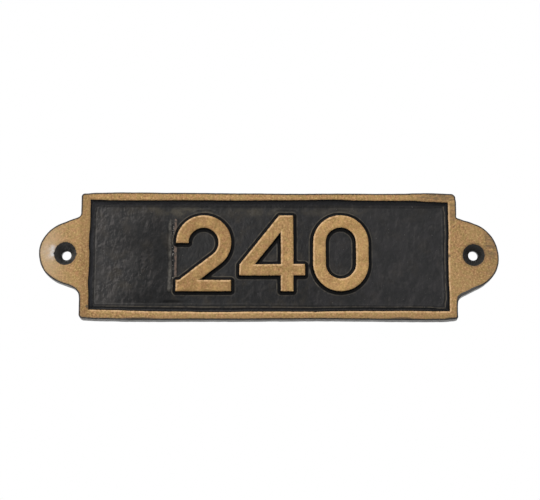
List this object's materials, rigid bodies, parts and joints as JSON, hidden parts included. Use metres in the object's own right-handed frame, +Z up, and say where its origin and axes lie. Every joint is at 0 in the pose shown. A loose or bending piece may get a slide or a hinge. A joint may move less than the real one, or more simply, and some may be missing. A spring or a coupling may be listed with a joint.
{
  "type": "cast door sign",
  "caption": "Cast door sign: a flat plate with a raised rim, raised numerals on a sunk field, and a lug with a countersunk screw hole at each end.",
  "frame": {"origin": "centre of the flat back face, on the line midway between the body's two ends", "axes": "+X to the reader's right along the sign, +Z up, and the face looks along -Y with the flat back on Y = 0"},
  "size_m": [0.2216, 0.0055, 0.0626],
  "materials": {
    "casting": "Painted casting: antique gold on the rim, lugs and numerals, black on the sunk field, the countersinks and the edges"
  },
  "bodies": {
    "root": {"sign_plate": "casting"}
  },
  "joints": []
}
